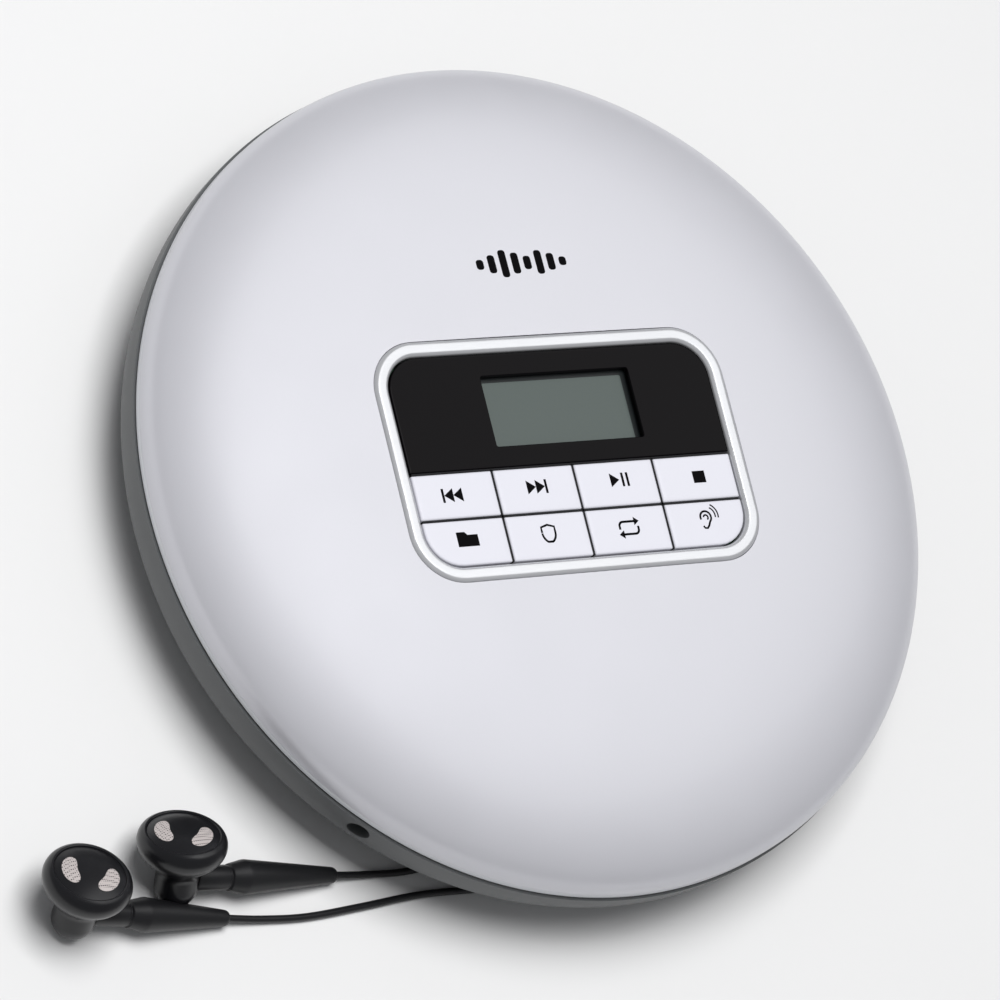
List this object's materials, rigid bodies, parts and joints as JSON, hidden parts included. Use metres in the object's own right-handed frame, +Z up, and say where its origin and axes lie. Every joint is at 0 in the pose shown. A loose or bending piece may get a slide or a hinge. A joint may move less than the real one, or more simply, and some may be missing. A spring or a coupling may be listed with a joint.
{
  "type": "portable cd player",
  "caption": "Round pocket disc player with a domed hinged lid, key panel with display, disc drive, battery bay and in-ear earphones on a cord.",
  "frame": {"origin": "centre of the case's underside, on the surface that it rests on", "axes": "+Z up, +X to the right of the key panel, +Y towards the lid hinge at the back"},
  "size_m": [0.1712, 0.1398, 0.0282],
  "materials": {
    "pearl_lid": "satin pearl paint on moulded plastic",
    "rim_grey": "moulded, satin",
    "case_grey": "moulded, fine matt",
    "key_white": "satin, moulded",
    "bezel_chrome": "bright plated plastic",
    "window_black": "polished",
    "lcd_glass": "matt display glass",
    "deck_dark": "moulded, matt",
    "rubber_black": "matt",
    "steel_bright": "bright",
    "chassis_steel": "pressed, zinc plated",
    "pickup_metal": "die cast",
    "lens_glass": "polished, coated",
    "turntable_black": "moulded",
    "board_green": "solder mask",
    "part_black": "moulded",
    "earbud_gloss": "moulded, polished",
    "cord_rubber": "satin",
    "plug_metal": "plated brass"
  },
  "bodies": {
    "case": {"base_shell": "case_grey", "feet": "rubber_black", "battery_contacts": "steel_bright", "battery_springs": "steel_bright", "deck": "deck_dark", "case_screws": "steel_bright", "chassis": "chassis_steel", "chassis_dampers": "rubber_black", "spindle_motor": "steel_bright", "guide_rods": "steel_bright", "sled_motor": "steel_bright", "main_board": "board_green", "board_chips": "part_black", "line_out_jack": "part_black", "phones_jack": "part_black", "power_socket": "steel_bright", "lid_switch": "part_black", "side_switches": "part_black", "hinge_pins": "steel_bright", "earbud_grilles": "earbud_gloss", "earbud_housings": "earbud_gloss", "earbud_boots": "cord_rubber", "lead_left": "cord_rubber", "lead_right": "cord_rubber", "y_joint": "cord_rubber", "cord_main": "cord_rubber", "cord_hank": "cord_rubber", "cord_tie": "cord_rubber", "plug": "cord_rubber", "plug_tip": "plug_metal"},
    "lid": {"lid_shell": "pearl_lid", "lid_rim": "rim_grey", "lid_catch": "rim_grey", "panel_bezel": "bezel_chrome", "display_window": "window_black", "lcd": "lcd_glass", "key_mat": "rubber_black", "key_switches": "steel_bright", "control_board": "board_green", "lid_liner": "deck_dark", "liner_screws": "steel_bright"},
    "battery_door": {"battery_door": "case_grey"},
    "turntable": {"turntable": "turntable_black", "hub_balls": "steel_bright"},
    "pickup": {"pickup_sled": "pickup_metal"},
    "lens": {"pickup_lens": "lens_glass"},
    "lead_screw": {"lead_screw": "steel_bright"},
    "latch": {"latch_slider": "case_grey"},
    "hold": {"hold_switch": "case_grey"},
    "volume_up": {"volume_up": "case_grey"},
    "volume_down": {"volume_down": "case_grey"},
    "key_prev": {"key_prev": "key_white"},
    "key_next": {"key_next": "key_white"},
    "key_play": {"key_play": "key_white"},
    "key_stop": {"key_stop": "key_white"},
    "key_folder": {"key_folder": "key_white"},
    "key_shield": {"key_shield": "key_white"},
    "key_mode": {"key_mode": "key_white"},
    "key_ear": {"key_ear": "key_white"}
  },
  "joints": [
    {"name": "lid_hinge", "type": "hinge", "parent": "case", "child": "lid", "pos_m": [0, 0.066, 0.0164], "axis": [-1, 0, 0], "range_deg": [0, 80]},
    {"name": "disc_spin", "type": "hinge", "parent": "case", "child": "turntable", "pos_m": [0, 0, 0.0192], "axis": [0, 0, 1], "continuous": true},
    {"name": "pickup_slide", "type": "slide", "parent": "case", "child": "pickup", "axis": [0, -1, 0], "range_m": [0, 0.033]},
    {"name": "lens_focus", "type": "slide", "parent": "pickup", "child": "lens", "axis": [0, 0, 1], "range_m": [-0.0003, 0.0003], "stiffness_N_per_m": 30},
    {"name": "lead_screw_turn", "type": "hinge", "parent": "case", "child": "lead_screw", "pos_m": [0.0126, -0.04, 0.013], "axis": [0, 1, 0], "range_deg": [-1, 3970]},
    {"name": "battery_door_slide", "type": "slide", "parent": "case", "child": "battery_door", "axis": [0, 1, 0], "range_m": [0, 0.008]},
    {"name": "latch_slide", "type": "slide", "parent": "case", "child": "latch", "axis": [0.7431, 0.6691, 0], "range_m": [0, 0.003], "stiffness_N_per_m": 150},
    {"name": "hold_slide", "type": "slide", "parent": "case", "child": "hold", "axis": [0.5736, 0.8192, 0], "range_m": [0, 0.002]},
    {"name": "volume_up_press", "type": "slide", "parent": "case", "child": "volume_up", "axis": [-0.9962, 0.0872, 0], "range_m": [0, 0.0004], "stiffness_N_per_m": 300},
    {"name": "volume_down_press", "type": "slide", "parent": "case", "child": "volume_down", "axis": [-0.9781, 0.2079, 0], "range_m": [0, 0.0004], "stiffness_N_per_m": 300},
    {"name": "key_prev_press", "type": "slide", "parent": "lid", "child": "key_prev", "axis": [0, 0, -1], "range_m": [0, 0.0004], "stiffness_N_per_m": 300},
    {"name": "key_next_press", "type": "slide", "parent": "lid", "child": "key_next", "axis": [0, 0, -1], "range_m": [0, 0.0004], "stiffness_N_per_m": 300},
    {"name": "key_play_press", "type": "slide", "parent": "lid", "child": "key_play", "axis": [0, 0, -1], "range_m": [0, 0.0004], "stiffness_N_per_m": 300},
    {"name": "key_stop_press", "type": "slide", "parent": "lid", "child": "key_stop", "axis": [0, 0, -1], "range_m": [0, 0.0004], "stiffness_N_per_m": 300},
    {"name": "key_folder_press", "type": "slide", "parent": "lid", "child": "key_folder", "axis": [0, 0, -1], "range_m": [0, 0.0004], "stiffness_N_per_m": 300},
    {"name": "key_shield_press", "type": "slide", "parent": "lid", "child": "key_shield", "axis": [0, 0, -1], "range_m": [0, 0.0004], "stiffness_N_per_m": 300},
    {"name": "key_mode_press", "type": "slide", "parent": "lid", "child": "key_mode", "axis": [0, 0, -1], "range_m": [0, 0.0004], "stiffness_N_per_m": 300},
    {"name": "key_ear_press", "type": "slide", "parent": "lid", "child": "key_ear", "axis": [0, 0, -1], "range_m": [0, 0.0004], "stiffness_N_per_m": 300}
  ],
  "couplings": [
    {"joint": "lead_screw_turn", "follows": "pickup_slide", "rad_per_m": 2094.4}
  ]
}
